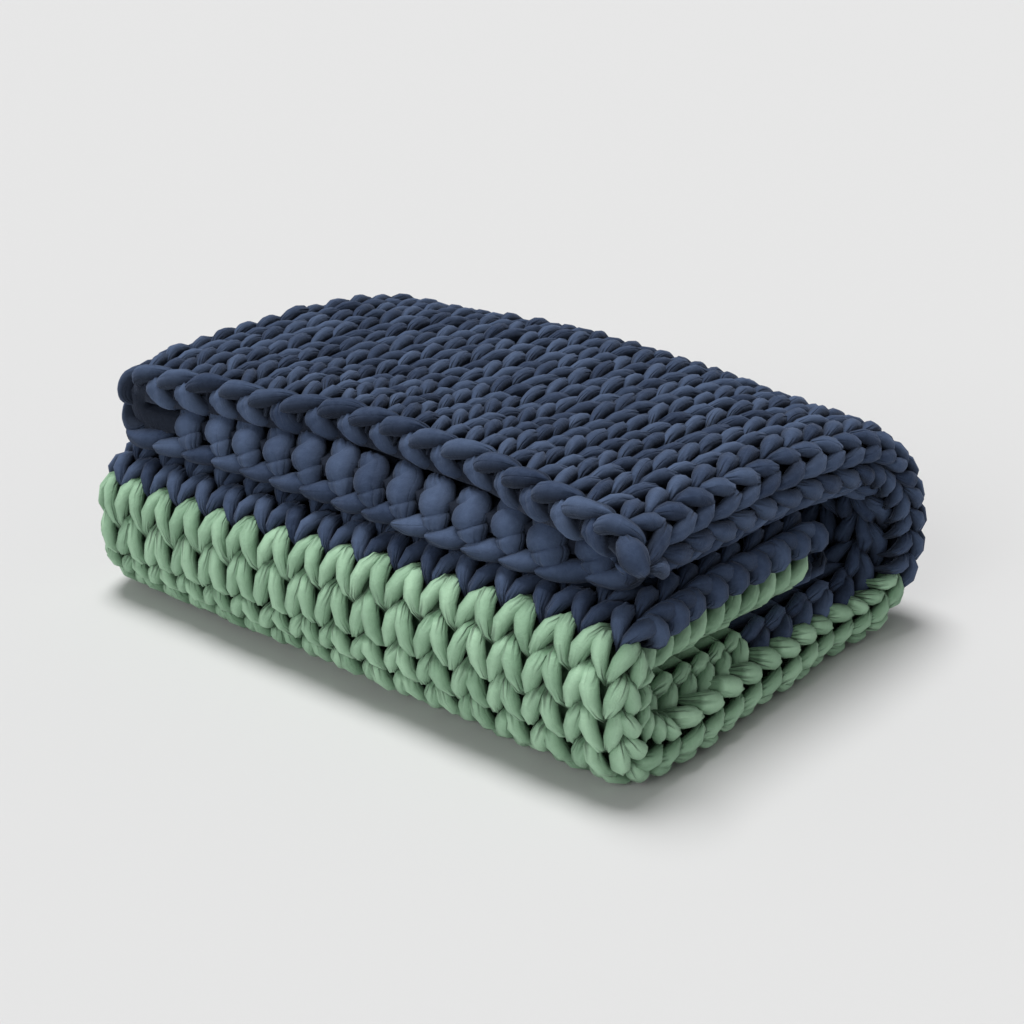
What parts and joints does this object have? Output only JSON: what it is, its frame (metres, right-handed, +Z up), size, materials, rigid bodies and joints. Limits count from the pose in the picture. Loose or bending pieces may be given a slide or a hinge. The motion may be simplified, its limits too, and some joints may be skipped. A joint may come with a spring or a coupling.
{
  "type": "folded knitted weighted blanket",
  "caption": "Chunky knitted weighted blanket in thick cotton jersey yarn, navy with a sage green block, doubled and folded in three.",
  "frame": {"origin": "middle of the underside, on the surface that the folded blanket lies on", "axes": "+X along the folds towards the open right-hand edges, +Y from the open front to the back fold, +Z up"},
  "size_m": [0.608, 0.442, 0.2189],
  "materials": {
    "navy_yarn": "matt cotton jersey, brushed by handling",
    "green_yarn": "matt cotton jersey, brushed by handling"
  },
  "bodies": {
    "root": {"knitted_cloth": "navy_yarn"}
  },
  "joints": []
}
